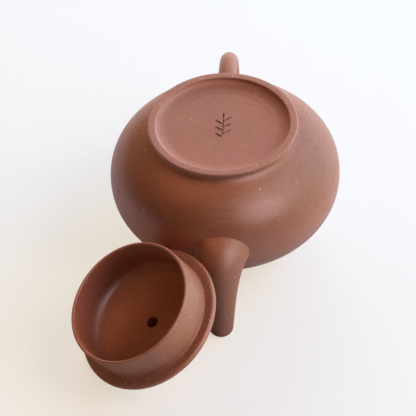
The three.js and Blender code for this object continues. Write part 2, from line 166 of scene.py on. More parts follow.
paper_tree.links.new(grey.outputs["BSDF"], lit.inputs[1])
paper_tree.links.new(seen.outputs["Shader"], lit.inputs[2])
paper_tree.links.new(lit.outputs["Shader"], paper_tree.nodes["Material Output"].inputs["Surface"])
floor_mesh.materials.append(paper)
print(f"floor {2 * reach:.2f} m wide")

# %% [markdown]
# Soft light comes from many sides, as from windows and pale walls. Two tables place it. The
# first lights the clay and the floor. The second holds cards that show only in the clay's sheen,
# which no real studio can do, so that the sheen is set on its own. Both tables were worked out
# outside this lesson by a least-squares fit to the colours the clay should have, and rounded.

# %% The lights
LIGHT_DISTANCE = 1.6
LIGHT_SIZE = 1.0
# Azimuth and elevation in degrees, watts at one metre, and colour.
LIT_BY = (
    (0, 14, 4.4, (0.75, 1.0, 0.52)),
    (0, 38, 7.6, (1.0, 0.62, 0.62)),
    (45, 14, 19.5, (0.15, 0.51, 1.0)),
    (90, 14, 13.7, (0.92, 0.96, 1.0)),
    (135, 14, 3.6, (1.0, 0.7, 0.4)),
    (225, 38, 1.0, (1.0, 0.35, 0.0)),
)
SHEEN_FROM = (
    (0, 14, 1.5, (0.29, 0.63, 1.0)),
    (0, 38, 6.2, (0.6, 0.85, 1.0)),
    (0, 64, 1.6, (1.0, 0.74, 0.53)),
    (45, 14, 3.2, (0.71, 0.94, 1.0)),
    (135, 14, 1.2, (0.68, 0.8, 1.0)),
    (180, 64, 3.2, (1.0, 0.4, 0.2)),
    (225, 38, 3.2, (1.0, 0.39, 0.16)),
    (270, 64, 0.6, (1.0, 0.52, 0.41)),
    (315, 38, 5.6, (1.0, 0.86, 0.92)),
)


def soft_light(azimuth, elevation, watts, colour, in_sheen):
    """A square light that faces the pot, and lights it or shows in its sheen."""
    light = bpy.data.objects.new("soft light", bpy.data.lights.new("soft light", "AREA"))
    light.data.shape = "SQUARE"
    light.data.size = LIGHT_SIZE
    light.data.energy = watts * LIGHT_DISTANCE**2
    light.data.color = colour
    around, above = math.radians(azimuth), math.radians(elevation)
    toward = Vector(
        (math.cos(above) * math.cos(around), math.cos(above) * math.sin(around), math.sin(above))
    )
    light.location = aim + toward * LIGHT_DISTANCE
    light.rotation_euler = toward.to_track_quat("Z", "Y").to_euler()
    light.visible_glossy = in_sheen
    light.visible_diffuse = not in_sheen
    scene.collection.objects.link(light)


for light_row in LIT_BY:
    soft_light(*light_row, False)
for light_row in SHEEN_FROM:
    soft_light(*light_row, True)
print(len(LIT_BY), "lights and", len(SHEEN_FROM), "sheen cards")

# %% [markdown]
# Fired clay looks alive because no patch of it is quite the same colour. Two effects make that,
# and every clay below uses both, so each is a node group. The first is the clay itself: soft
# clouds of colour, a fine mottle, pale grains of sand, and pinholes. A few helpers come first,
# so that a group reads as a recipe and not as a list of links.

# %% Helpers for shader nodes


def feed(tree, socket, value):
    """Give a socket a plain value, or link it to another node's output."""
    if isinstance(value, bpy.types.NodeSocket):
        tree.links.new(value, socket)
    else:
        socket.default_value = value


def new_group(name, inputs, outputs):
    """A shader node group with named sockets; returns it and its input and output nodes."""
    group = bpy.data.node_groups.new(name, "ShaderNodeTree")
    for label, kind, value in inputs:
        socket = group.interface.new_socket(label, in_out="INPUT", socket_type=f"NodeSocket{kind}")
        if value is not None:
            socket.default_value = value
    for label, kind in outputs:
        group.interface.new_socket(label, in_out="OUTPUT", socket_type=f"NodeSocket{kind}")
    return group, group.nodes.new("NodeGroupInput"), group.nodes.new("NodeGroupOutput")


def noise(tree, vector, scale, detail=2.0, rough=0.5):
    node = tree.nodes.new("ShaderNodeTexNoise")
    node.inputs["Scale"].default_value = scale
    node.inputs["Detail"].default_value = detail
    node.inputs["Roughness"].default_value = rough
    tree.links.new(vector, node.inputs["Vector"])
    return node.outputs["Fac"]


def mix_colours(tree, factor, first, second):
    """A Mix node for colours; its colour sockets are numbers 6 and 7, and its result is 2."""
    node = tree.nodes.new("ShaderNodeMix")
    node.data_type = "RGBA"
    for place, value in ((0, factor), (6, first), (7, second)):
        feed(tree, node.inputs[place], value)
    return node.outputs[2]


def spread_out(tree, value, low, high, to_low=0.0, to_high=1.0):
    """Stretch a value's useful range to another range, and clamp it."""
    node = tree.nodes.new("ShaderNodeMapRange")
    node.inputs["From Min"].default_value = low
    node.inputs["From Max"].default_value = high
    node.inputs["To Min"].default_value = to_low
    node.inputs["To Max"].default_value = to_high
    tree.links.new(value, node.inputs["Value"])
    return node.outputs["Result"]


def arithmetic(tree, operation, *values):
    node = tree.nodes.new("ShaderNodeMath")
    node.operation = operation
    for place, value in enumerate(values):
        feed(tree, node.inputs[place], value)
    return node.outputs["Value"]


def blend(tree, first, first_share, second, second_share):
    """The sum of two values, each times its share."""
    return arithmetic(
        tree,
        "ADD",
        arithmetic(tree, "MULTIPLY", first, first_share),
        arithmetic(tree, "MULTIPLY", second, second_share),
    )


def plus_share(tree, value, mask, share):
    """A value, and a share of a mask added to it."""
    return arithmetic(tree, "ADD", value, arithmetic(tree, "MULTIPLY", mask, share))


def grains(tree, vector, scale, share, size):
    """A mask of small round grains: one in a few cells holds one, of the given size."""
    cells = tree.nodes.new("ShaderNodeTexVoronoi")
    cells.inputs["Scale"].default_value = scale
    tree.links.new(vector, cells.inputs["Vector"])
    split = tree.nodes.new("ShaderNodeSeparateColor")
    tree.links.new(cells.outputs["Color"], split.inputs["Color"])
    chosen = arithmetic(tree, "LESS_THAN", split.outputs["Red"], share)
    round_grain = spread_out(tree, cells.outputs["Distance"], size, size * 0.55)
    return arithmetic(tree, "MULTIPLY", chosen, round_grain)


print("helpers for shader nodes are ready")

# %% [markdown]
# Here is the grain of the clay in one group. Each layer of it has its own scale, in cells to the
# metre: clouds are a thumb wide, sand grains about half a millimetre, and dust finer still.

# %% The clay's own grain, as a node group
CLOUD_SCALE = 38
MOTTLE_SCALE = 420
DUST_SCALE = 2400
SAND_SCALE = 800
FINE_SAND_SCALE = 1700
COARSE_SAND_SCALE = 640
PINHOLE_SHARE = 0.035
DUST_STRENGTH = 0.14
SAND_STRENGTH = 0.8
SAND_STANDS = 0.35
PINHOLE_DEPTH = 0.8

clay_group, g_in, g_out = new_group(
    "clay_grain",
    [
        ("Vector", "Vector", None),
        ("Light clay", "Color", (0.25, 0.1, 0.06, 1)),
        ("Dark clay", "Color", (0.15, 0.06, 0.03, 1)),
        ("Sand", "Color", (0.6, 0.33, 0.18, 1)),
        ("Sand share", "Float", 0.05),
        ("Coarse share", "Float", 0.01),
    ],
    [("Color", "Color"), ("Height", "Float")],
)
where = g_in.outputs["Vector"]
clouds = spread_out(clay_group, noise(clay_group, where, CLOUD_SCALE, 3, 0.55), 0.3, 0.7)
mottle = noise(clay_group, where, MOTTLE_SCALE, 4, 0.65)
blotched = spread_out(clay_group, mottle, 0.33, 0.67)
shade = blend(clay_group, clouds, 0.55, blotched, 0.45)
ground = mix_colours(clay_group, shade, g_in.outputs["Dark clay"], g_in.outputs["Light clay"])
dust = noise(clay_group, where, DUST_SCALE, 3, 0.6)
dust_mask = spread_out(clay_group, dust, 0.4, 0.8, 0.0, DUST_STRENGTH)
dusted = mix_colours(clay_group, dust_mask, ground, g_in.outputs["Sand"])
sand_share = g_in.outputs["Sand share"]
sand_mask = grains(clay_group, where, SAND_SCALE, sand_share, 0.28)
for scale, share in (
    (FINE_SAND_SCALE, arithmetic(clay_group, "MULTIPLY", sand_share, 2.0)),
    (COARSE_SAND_SCALE, g_in.outputs["Coarse share"]),
):
    layer = grains(clay_group, where, scale, share, 0.3)
    sand_mask = arithmetic(clay_group, "MAXIMUM", sand_mask, layer)
pinholes = grains(clay_group, where, SAND_SCALE, PINHOLE_SHARE, 0.26)
faint_sand = arithmetic(clay_group, "MULTIPLY", sand_mask, SAND_STRENGTH)
sanded = mix_colours(clay_group, faint_sand, dusted, g_in.outputs["Sand"])
pricked = mix_colours(clay_group, pinholes, sanded, g_in.outputs["Dark clay"])
skin_height = blend(clay_group, dust, 0.5, mottle, 0.5)
skin_height = plus_share(clay_group, skin_height, pinholes, -PINHOLE_DEPTH)
skin_height = plus_share(clay_group, skin_height, sand_mask, SAND_STANDS)
clay_group.links.new(pricked, g_out.inputs["Color"])
clay_group.links.new(skin_height, g_out.inputs["Height"])
print("clay_grain has", len(clay_group.nodes), "nodes")

# %% [markdown]
# The second effect is the maker's hand. A burnishing tool runs round and round the pot, and
# leaves faint level streaks in the sheen and a surface that is never quite true. The streaks
# follow the axis of the piece, so each material turns its own coordinates before it calls this.

# %% The burnishing marks, as a node group
HOLLOW_SCALE = 70
mark_group, m_in, m_out = new_group(
    "burnish_marks",
    [("Vector", "Vector", None), ("Along", "Float", 40.0), ("Across", "Float", 900.0)],
    [("Height", "Float"), ("Gloss", "Float")],
)
stretch = mark_group.nodes.new("ShaderNodeCombineXYZ")
for letter, speed in (("X", "Along"), ("Y", "Along"), ("Z", "Across")):
    mark_group.links.new(m_in.outputs[speed], stretch.inputs[letter])
drawn = mark_group.nodes.new("ShaderNodeVectorMath")
drawn.operation = "MULTIPLY"
mark_group.links.new(m_in.outputs["Vector"], drawn.inputs[0])
mark_group.links.new(stretch.outputs["Vector"], drawn.inputs[1])
streaks = noise(mark_group, drawn.outputs["Vector"], 1.0, 3, 0.6)
hollows = noise(mark_group, m_in.outputs["Vector"], HOLLOW_SCALE, 1, 0.4)
uneven = blend(mark_group, streaks, 0.25, hollows, 0.75)
mark_group.links.new(uneven, m_out.inputs["Height"])
mark_group.links.new(spread_out(mark_group, streaks, 0.3, 0.7), m_out.inputs["Gloss"])
print("burnish_marks has", len(mark_group.nodes), "nodes")

# %% [markdown]
# One function makes each clay from the two groups. What differs is the colour, the share of
# sand, how far the surface was burnished, and how rough it was left. Rubbed edges are paler and
# smoother: a mesh can carry a "rubbed" value for its points, high on its rims. A "gritty" value
# is high where the clay was scraped and not burnished. A third value is painted shade: it makes
# the clay darker and rougher, most towards the tip of the spout, which lies on the table.

# %% How a clay is made
CLAY_IOR = 1.65
COARSE_SHARE = 0.012
GRIT_GAIN = 6.0


def read_attribute(tree, name):
    node = tree.nodes.new("ShaderNodeAttribute")
    node.attribute_name = name
    return node.outputs["Fac"]


def clay(name, light, dark, sand, share, gloss, grain_depth, mark_depth, axis=(0, 0, 1)):
    """A fired clay. gloss is its smoothest and roughest roughness; depths are in metres."""
    material = bpy.data.materials.new(name)
    material.use_nodes = True
    tree = material.node_tree
    shader = tree.nodes["Principled BSDF"]
    shader.inputs["IOR"].default_value = CLAY_IOR
    place = tree.nodes.new("ShaderNodeTexCoord").outputs["Object"]
    turned_place = tree.nodes.new("ShaderNodeMapping")
    turned_place.inputs["Rotation"].default_value = (
        Vector(axis).rotation_difference(Vector((0, 0, 1))).to_euler()
    )
    tree.links.new(place, turned_place.inputs["Vector"])

    rubbed = read_attribute(tree, "rubbed")
    gritty = read_attribute(tree, "gritty")
    # The third value is painted shade, darkest at the spout's tip on the table.
    painted_shade = read_attribute(tree, "painted_shade")
    body = tree.nodes.new("ShaderNodeGroup")
    body.node_tree = clay_group
    for label, value in (("Light clay", light), ("Dark clay", dark), ("Sand", sand)):
        body.inputs[label].default_value = (*value, 1)
    tree.links.new(plus_share(tree, share, gritty, 0.45), body.inputs["Sand share"])
    tree.links.new(plus_share(tree, COARSE_SHARE, gritty, 0.4), body.inputs["Coarse share"])
    tree.links.new(turned_place.outputs["Vector"], body.inputs["Vector"])
    marks = tree.nodes.new("ShaderNodeGroup")
    marks.node_tree = mark_group
    tree.links.new(turned_place.outputs["Vector"], marks.inputs["Vector"])

    # For each effect: its mask, how far it takes the colour, to which, and how much it roughens.
    colour = body.outputs["Color"]
    roughness = spread_out(tree, marks.outputs["Gloss"], 0, 1, *gloss)
    for mask, strength, end_colour, roughening in (
        (rubbed, 0.45, [min(1.0, value * 1.5 + 0.03) for value in light], -0.08),
        (gritty, 0.55, [value * 0.9 for value in dark], 0.25),
        # The third row is painted shade: it darkens the clay, most at the spout's tip on the table.
        (painted_shade, 0.75, [value * 0.55 for value in dark], 0.25),
    ):
        taken = arithmetic(tree, "MULTIPLY", mask, strength)
        colour = mix_colours(tree, taken, colour, (*end_colour, 1))
        roughness = plus_share(tree, roughness, mask, roughening)
    tree.links.new(colour, shader.inputs["Base Color"])
    tree.links.new(roughness, shader.inputs["Roughness"])

    wavy = tree.nodes.new("ShaderNodeBump")
    wavy.inputs["Distance"].default_value = mark_depth
    tree.links.new(marks.outputs["Height"], wavy.inputs["Height"])
    skin = tree.nodes.new("ShaderNodeBump")
    skin.inputs["Distance"].default_value = grain_depth
    grit_gain = plus_share(tree, 1.0, gritty, GRIT_GAIN)
    rough_height = arithmetic(tree, "MULTIPLY", body.outputs["Height"], grit_gain)
    tree.links.new(rough_height, skin.inputs["Height"])
    tree.links.new(wavy.outputs["Normal"], skin.inputs["Normal"])
    tree.links.new(skin.outputs["Normal"], shader.inputs["Normal"])
    return material


print("a clay reads the values rubbed, gritty and stained")

# %% [markdown]
# Four clays: the burnished outside, the base, which was smoothed but not burnished, the bare
# clay of the mouth and the strainer, and the lid's, whose marks turn about the lid's own axis.

# %% The four clays
SAND = (0.74, 0.43, 0.25)
burnished = clay(
    "burnished_clay", (0.357, 0.133, 0.065), (0.265, 0.09, 0.041), SAND, 0.035, (0.34, 0.46),
    0.05 * MM, 0.35 * MM,
)
base_clay = clay(
    "base_clay", (0.39, 0.165, 0.107), (0.315, 0.124, 0.076), SAND, 0.05, (0.58, 0.7),
    0.14 * MM, 0.2 * MM,
)
bare_clay = clay(
    "bare_clay", (0.36, 0.15, 0.085), (0.28, 0.105, 0.058), SAND, 0.04, (0.6, 0.75),
    0.14 * MM, 0.3 * MM,
)
lid_clay = clay(
    "lid_clay", (0.375, 0.147, 0.08), (0.26, 0.093, 0.047), SAND, 0.045, (0.38, 0.52),
    0.06 * MM, 0.3 * MM, axis=lid_opening,
)
print("clays:", burnished.name, base_clay.name, bare_clay.name, lid_clay.name)

# %% [markdown]
# Nearly everything on this pot is round, and a round piece is an outline of radius and height,
# turned about an axis. The outline is written going up on the outside. It either closes on
# itself, as a ring does, or starts and ends on the axis.

# %% Outlines
TURN_STEPS = 160
SAME_POINT = 1e-6


def line_up(first, *rest):
    """Join stretches of an outline and drop points that repeat."""
    points = list(first)
    for stretch in rest:
        points += list(stretch)
    kept = [points[0]]
    for point in points[1:]:
        if math.dist(point, kept[-1]) > SAME_POINT:
            kept.append(point)
    return kept


def bend(start, control, end, steps=8):
    """A quadratic Bezier stretch."""
    points = []
    for i in range(steps + 1):
        t = i / steps
        shares = ((1 - t) ** 2, 2 * t * (1 - t), t * t)
        points.append(
            tuple(sum(s * p[k] for s, p in zip(shares, (start, control, end))) for k in (0, 1))
        )
    return points


def arc(centre, radius, start, end, steps=10):
    """A round stretch between two angles in degrees, 0 being straight out."""
    points = []
    for i in range(steps + 1):
        a = math.radians(start + (end - start) * i / steps)
        points.append((centre[0] + radius * math.cos(a), centre[1] + radius * math.sin(a)))
    return points


print("stretches of an outline: line_up, bend and arc")

# %% [markdown]
# A finished mesh then goes into the scene. Its corners are marked sharp by their angle, so that
# the rest is smooth. Masks such as "rubbed" are worked out from each point's radius and height,
# as they are before the piece is put in its place.

# %% Turning, adding and painting


def add_piece(name, mesh, body, node, material, sharp=38):
    """Put a finished mesh in the scene: it rides on its body and stands for its CAD node."""
    mesh.name = name
    piece = bpy.data.objects.new(name, mesh)
    scene.collection.objects.link(piece)
    mesh.materials.clear()
    mesh.materials.append(material)
    mesh.shade_smooth()
    mesh.set_sharp_from_angle(angle=math.radians(sharp))
    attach(piece, body)
    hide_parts(node)
    size = [round(value / MM, 1) for value in piece.dimensions]
    print(f"{name}: {len(mesh.polygons)} faces, {size} mm")


def turned_mesh(name, outline, place, steps=TURN_STEPS):
    """A closed mesh: the outline turned about the upright axis, then put in its place."""
    closed = outline[0][0] > 0
    points = outline if closed else outline[1:-1]
    vertices = []
    for radius, height in points:
        for j in range(steps):
            a = 2 * math.pi * j / steps
            vertices.append((radius * math.cos(a), radius * math.sin(a), height))
    faces = []
    rings = len(points)
    for i in range(rings if closed else rings - 1):
        low, high = i * steps, ((i + 1) % rings) * steps
        for j in range(steps):
            k = (j + 1) % steps
            faces.append((low + j, low + k, high + k, high + j))
    if not closed:
        bottom, top = len(vertices), len(vertices) + 1
        vertices += [(0, 0, outline[0][1]), (0, 0, outline[-1][1])]
        last = (rings - 1) * steps
        for j in range(steps):
            k = (j + 1) % steps
            faces.append((bottom, k, j))
            faces.append((top, last + j, last + k))
    mesh = bpy.data.meshes.new(name)
    mesh.from_pydata(vertices, [], faces)
    mesh.transform(place)
    return mesh


def paint(mesh, name, place, strength):
    """Give each point a value from its radius and height before the mesh was put in place."""
    back = place.inverted()
    values = []
    for vertex in mesh.vertices:
        point = back @ vertex.co
        values.append(max(0.0, min(1.0, strength(math.hypot(point.x, point.y), point.z))))
    mesh.attributes.new(name, "FLOAT", "POINT").data.foreach_set("value", values)


def near(distance, reach):
    """1 where the distance is 0, falling smoothly to 0 at the reach."""
    share = max(0.0, 1 - abs(distance) / reach)
    return share * share * (3 - 2 * share)


print("a turned piece has", TURN_STEPS, "steps around")

# %% [markdown]
# The wall of the pot is a slab that was paddled round. Its outline is close to an ellipse, but
# a little fuller, so a superellipse says it in one formula. Each half is just deep enough to
# pass through the circle where the cove, or the mouth, meets it.

# %% The wall's outline
WALL = 2.6 * MM
FULLNESS = 2.2
BELLY_HEIGHT = 27 * MM
FOOT_HEIGHT = 2.2 * MM
FOOT_FLARE = 1.2 * MM
COVE_RISE = 2.8 * MM
COVE_RUN = 2.9 * MM
SHOULDER_RADIUS = 36 * MM
MOUTH_RING_HEIGHT = 3.4 * MM
BASE_RADIUS = 26.5 * MM
SEAM = 0.15 * MM
HAIR = 0.1 * MM

WAIST_RADIUS = FOOT_RADIUS - FOOT_FLARE
WAIST_HEIGHT = FOOT_HEIGHT + SEAM
COVE_TOP = (WAIST_RADIUS + COVE_RUN, FOOT_HEIGHT + 2 * SEAM + COVE_RISE)
MOUTH_FLOOR = pot_height - MOUTH_RING_HEIGHT - SEAM


def fall(radius, widest):
    return max(0.0, 1 - (radius / widest) ** FULLNESS) ** (1 / FULLNESS)


DEPTHS = {
    -1: (BELLY_HEIGHT - COVE_TOP[1]) / fall(COVE_TOP[0], BELLY_RADIUS),
    1: (pot_height - MOUTH_RING_HEIGHT - 2 * SEAM - BELLY_HEIGHT) / fall(LID_RADIUS, BELLY_RADIUS),
}


def wall_line(inset, start, start_side, end, end_side, steps):
    """The outline between two radii; a side is -1 below the belly and 1 above it."""
    widest = BELLY_RADIUS - inset
    first = start_side * math.acos((start / widest) ** (FULLNESS / 2))
    last = end_side * math.acos((end / widest) ** (FULLNESS / 2))
    points = []
    for i in range(steps + 1):
        a = first + (last - first) * i / steps
        side = -1 if a < 0 else 1
        rise = (DEPTHS[side] - inset) * abs(math.sin(a)) ** (2 / FULLNESS)
        points.append((widest * math.cos(a) ** (2 / FULLNESS), BELLY_HEIGHT + side * rise))
    return points


print(f"the body's halves are {DEPTHS[-1] / MM:.1f} and {DEPTHS[1] / MM:.1f} mm deep")

# %% [markdown]
# Spout and handle are luted on the wall. Each is made a little too long and trimmed by a solid
# of the wall's own shape, so it meets the wall exactly, as cut clay does.

# %% Trimming


def wall_blank(inset):
    """The whole body as one solid, for trimming what is luted on it."""
    line = wall_line(inset, 0, -1, 0, 1, 90)
    line[0] = (0, line[0][1])
    line[-1] = (0, line[-1][1])
    return turned_mesh("wall_blank", line, POT_PLACE, 128)


def cut(mesh, tool, operation="DIFFERENCE"):
    """Cut a mesh with another, and return the result as a new mesh."""
    piece = bpy.data.objects.new("piece", mesh)
    cutter = bpy.data.objects.new("cutter", tool)
    for thing in (piece, cutter):
        scene.collection.objects.link(thing)
    boolean = piece.modifiers.new("cut", "BOOLEAN")
    boolean.operation = operation
    boolean.solver = "EXACT"
    boolean.object = cutter
    result = bpy.data.meshes.new_from_object(
        piece.evaluated_get(bpy.context.evaluated_depsgraph_get())
    )
    for thing in (piece, cutter):
        bpy.data.objects.remove(thing)
    return result


print("trimming is ready")

# %% [markdown]
# The cove is the small hollow between the body and the foot. It keeps the slope of the body
# where it leaves it and stands upright at the waist, so a quadratic curve fits it. Behind the
# spout the wall has a round hole, which the strainer fills.

# %% The paddled wall
STRAINER_RADIUS = 6.6 * MM
SPOUT_ROOT_HEIGHT = 27.5 * MM
slope_step = 0.1 * MM
slope = (
    DEPTHS[-1]
    * (fall(COVE_TOP[0], BELLY_RADIUS) - fall(COVE_TOP[0] + slope_step, BELLY_RADIUS))
    / slope_step
)
cove_corner = (WAIST_RADIUS, COVE_TOP[1] - slope * COVE_RUN)
wall_outline = line_up(
    bend((WAIST_RADIUS, WAIST_HEIGHT), cove_corner, COVE_TOP, 14),
    wall_line(0, COVE_TOP[0], -1, SHOULDER_RADIUS, 1, 80),
    wall_line(WALL, SHOULDER_RADIUS, 1, BASE_RADIUS, -1, 40),
    [(BASE_RADIUS, WAIST_HEIGHT)],
)
wall_mesh = turned_mesh("wall", wall_outline, POT_PLACE)
drill = turned_mesh(
    "drill",
    [(0, 0), (STRAINER_RADIUS, 0), (STRAINER_RADIUS, BELLY_RADIUS), (0, BELLY_RADIUS)],
    POT_PLACE @ Matrix.Translation((0, 0, SPOUT_ROOT_HEIGHT)) @ Matrix.Rotation(math.pi / 2, 4, "X"),
    64,
)
wall_mesh = cut(wall_mesh, drill)
paint(wall_mesh, "rubbed", POT_PLACE, lambda r, h: 0.25 * near(r - BELLY_RADIUS, 1.2 * MM))
add_piece("paddled_wall", wall_mesh, "pot", "body_wall", burnished)

# %% [markdown]
# The foot is a ring with a flat face and two softened edges, which years of being set down have
# rubbed pale. Inside it the potter smoothed the slip into a wide fillet that runs out level with
# the base, so the base disc and the fillet meet edge to edge at one radius.

# %% Foot ring and base
FOOT_FACE = 3.2 * MM
FOOT_EDGE = 0.45 * MM
RECESS_FILLET = 6.2 * MM
RECESS_DEPTH = 2.5 * MM
BASE_THICKNESS = 2.6 * MM

foot_inner = FOOT_RADIUS - FOOT_FACE
fillet_end = foot_inner - RECESS_FILLET
foot_outline = line_up(
    [(fillet_end, WAIST_HEIGHT + HAIR), (fillet_end, RECESS_DEPTH)],
    bend((fillet_end, RECESS_DEPTH), (foot_inner - HAIR, RECESS_DEPTH), (foot_inner, FOOT_EDGE), 18),
    arc((foot_inner + FOOT_EDGE, FOOT_EDGE), FOOT_EDGE, 180, 270, 6),
    arc((FOOT_RADIUS - FOOT_EDGE, FOOT_EDGE), FOOT_EDGE, 270, 360, 6),
    bend((FOOT_RADIUS, FOOT_EDGE), (WAIST_RADIUS, FOOT_HEIGHT / 2), (WAIST_RADIUS, WAIST_HEIGHT), 10),
)
foot_mesh = turned_mesh("foot", foot_outline, POT_PLACE)


def foot_rubbed(radius, height):
    edges = max(near(radius - FOOT_RADIUS, 0.8 * MM), near(radius - foot_inner, 0.7 * MM))
    return edges * near(height, 1.2 * MM)


paint(foot_mesh, "rubbed", POT_PLACE, foot_rubbed)
paint(foot_mesh, "gritty", POT_PLACE, lambda r, h: 0.3 * near(h, 0.3 * MM))
add_piece("foot_ring_clay", foot_mesh, "pot", "foot_ring", base_clay)

base_outline = [
    (0, RECESS_DEPTH),
    (fillet_end, RECESS_DEPTH),
    (fillet_end, RECESS_DEPTH + 2 * HAIR),
    (BASE_RADIUS - 2 * SEAM, RECESS_DEPTH + 2 * HAIR),
    (BASE_RADIUS - 2 * SEAM, RECESS_DEPTH + BASE_THICKNESS),
    (0, RECESS_DEPTH + BASE_THICKNESS),
]
base_mesh = turned_mesh("base", base_outline, POT_PLACE)
print(f"fillet {RECESS_FILLET / MM:.1f} mm wide inside the foot ring")

# %% [markdown]
# Three pieces of this pot repeat a shape or follow a path: the mark in the base, the strainer
# and the handle. Geometry Nodes make them. These helpers build a tree with named inputs, end it
# in the same way each time, and run it on a mesh, so that a plain mesh comes out.

# %% Helpers for Geometry Nodes


def geometry_group(name, inputs):
    """A Geometry Nodes tree with named inputs; returns it and its input and output nodes."""
    tree = bpy.data.node_groups.new(name, "GeometryNodeTree")
    tree.interface.new_socket("Geometry", in_out="INPUT", socket_type="NodeSocketGeometry")
    for label, kind, value in inputs:
        socket = tree.interface.new_socket(label, in_out="INPUT", socket_type=f"NodeSocket{kind}")
        if value is not None:
            socket.default_value = value
    tree.interface.new_socket("Geometry", in_out="OUTPUT", socket_type="NodeSocketGeometry")
    return tree, tree.nodes.new("NodeGroupInput"), tree.nodes.new("NodeGroupOutput")


def end_tree(tree, geometry, g_in, g_out):
    """Every tree ends alike: realize the instances, set the material, and put it out."""
    real = tree.nodes.new("GeometryNodeRealizeInstances")
    coat = tree.nodes.new("GeometryNodeSetMaterial")
    tree.links.new(geometry, real.inputs["Geometry"])
    tree.links.new(real.outputs["Geometry"], coat.inputs["Geometry"])
    tree.links.new(g_in.outputs["Material"], coat.inputs["Material"])
    tree.links.new(coat.outputs["Geometry"], g_out.inputs["Geometry"])


def apply_tree(data, tree, values):
    """Run a tree on a mesh or curve with these inputs, and return the result as a plain mesh."""
    thing = bpy.data.objects.new("thing", data)
    scene.collection.objects.link(thing)
    modifier = thing.modifiers.new(tree.name, "NODES")
    modifier.node_group = tree
    sockets = {s.name: s.identifier for s in tree.interface.items_tree if s.in_out == "INPUT"}
    for label, value in values.items():
        modifier[sockets[label]] = value
    result = bpy.data.meshes.new_from_object(
        thing.evaluated_get(bpy.context.evaluated_depsgraph_get())
    )
    bpy.data.objects.remove(thing)
    return result


def vector_node(tree, x, y, z):
    node = tree.nodes.new("ShaderNodeCombineXYZ")
    for place, value in enumerate((x, y, z)):
        feed(tree, node.inputs[place], value)
    return node.outputs["Vector"]


print("helpers for Geometry Nodes are ready")

# %% [markdown]
# Potters scratch a small mark into the base while the clay is soft. This one is a plain sprig:
# a stem with pairs of leaves. Leaves repeat, so Geometry Nodes place them: points along the
# stem, one leaf-shaped tool on each, and a Boolean that presses them all into the disc.

# %% The sprig's tree
SPRIG_LENGTH = 11 * MM
SPRIG_LEAVES = 7
LEAF_LENGTH = 3.6 * MM
LEAF_WIDTH = 0.95 * MM
LEAF_ANGLE = math.radians(52)
MARK_DEPTH = 0.6 * MM
STEM_WIDTH_SHARE = 0.75
STEM_DEPTH_SHARE = 1.6

sprig, s_in, s_out = geometry_group(
    "pressed_sprig",
    [
        ("Leaves", "Int", SPRIG_LEAVES),
        ("Length", "Float", SPRIG_LENGTH),
        ("Leaf length", "Float", LEAF_LENGTH),
        ("Leaf width", "Float", LEAF_WIDTH),
        ("Depth", "Float", MARK_DEPTH),
        ("Middle", "Vector", None),
        ("Material", "Material", None),
    ],
)
leaf_number = sprig.nodes.new("GeometryNodeInputIndex").outputs["Index"]
last_leaf = arithmetic(sprig, "SUBTRACT", s_in.outputs["Leaves"], 1.0)
up_stem = arithmetic(sprig, "DIVIDE", leaf_number, last_leaf)
# Leaves take turns to the left (-1) and the right (1), and the last one is the tip (0).
turn_about = arithmetic(sprig, "MODULO", leaf_number, 2.0)
leaf_side = arithmetic(sprig, "SUBTRACT", arithmetic(sprig, "MULTIPLY", turn_about, 2.0), 1.0)
is_tip = arithmetic(sprig, "GREATER_THAN", up_stem, 0.99)
leaf_side = arithmetic(sprig, "MULTIPLY", leaf_side, arithmetic(sprig, "SUBTRACT", 1.0, is_tip))
leaf_reach = arithmetic(sprig, "MULTIPLY", s_in.outputs["Leaf length"], 0.46)
stem_place_up = arithmetic(sprig, "SUBTRACT", up_stem, 0.4)
leaf_middle = vector_node(
    sprig,
    arithmetic(sprig, "MULTIPLY", leaf_side, leaf_reach),
    arithmetic(sprig, "MULTIPLY", stem_place_up, s_in.outputs["Length"]),
    0.0,
)
stem_points = sprig.nodes.new("GeometryNodePoints")
sprig.links.new(s_in.outputs["Leaves"], stem_points.inputs["Count"])
sprig.links.new(leaf_middle, stem_points.inputs["Position"])
leaf = sprig.nodes.new("GeometryNodeMeshIcoSphere")
leaf.inputs["Subdivisions"].default_value = 3
leaf.inputs["Radius"].default_value = 0.5
leaves = sprig.nodes.new("GeometryNodeInstanceOnPoints")
sprig.links.new(stem_points.outputs["Points"], leaves.inputs["Points"])
sprig.links.new(leaf.outputs["Mesh"], leaves.inputs["Instance"])
sprig.links.new(
    vector_node(sprig, 0.0, 0.0, arithmetic(sprig, "MULTIPLY", leaf_side, -LEAF_ANGLE)),
    leaves.inputs["Rotation"],
)
sprig.links.new(
    vector_node(
        sprig,
        s_in.outputs["Leaf width"],
        s_in.outputs["Leaf length"],
        arithmetic(sprig, "MULTIPLY", s_in.outputs["Depth"], 2.0),
    ),
    leaves.inputs["Scale"],
)
stem = sprig.nodes.new("GeometryNodeMeshIcoSphere")
stem.inputs["Subdivisions"].default_value = 4
stem.inputs["Radius"].default_value = 0.5
stem_place = sprig.nodes.new("GeometryNodeTransform")
sprig.links.new(stem.outputs["Mesh"], stem_place.inputs["Geometry"])
sprig.links.new(
    vector_node(
        sprig,
        arithmetic(sprig, "MULTIPLY", s_in.outputs["Leaf width"], STEM_WIDTH_SHARE),
        s_in.outputs["Length"],
        arithmetic(sprig, "MULTIPLY", s_in.outputs["Depth"], STEM_DEPTH_SHARE),
    ),
    stem_place.inputs["Scale"],
)
together = sprig.nodes.new("GeometryNodeJoinGeometry")
sprig.links.new(leaves.outputs["Instances"], together.inputs["Geometry"])
sprig.links.new(stem_place.outputs["Geometry"], together.inputs["Geometry"])
real_tools = sprig.nodes.new("GeometryNodeRealizeInstances")
sprig.links.new(together.outputs["Geometry"], real_tools.inputs["Geometry"])
tool_place = sprig.nodes.new("GeometryNodeTransform")
sprig.links.new(real_tools.outputs["Geometry"], tool_place.inputs["Geometry"])
sprig.links.new(s_in.outputs["Middle"], tool_place.inputs["Translation"])
press = sprig.nodes.new("GeometryNodeMeshBoolean")
press.operation = "DIFFERENCE"
press.solver = "EXACT"
press.inputs["Self Intersection"].default_value = True
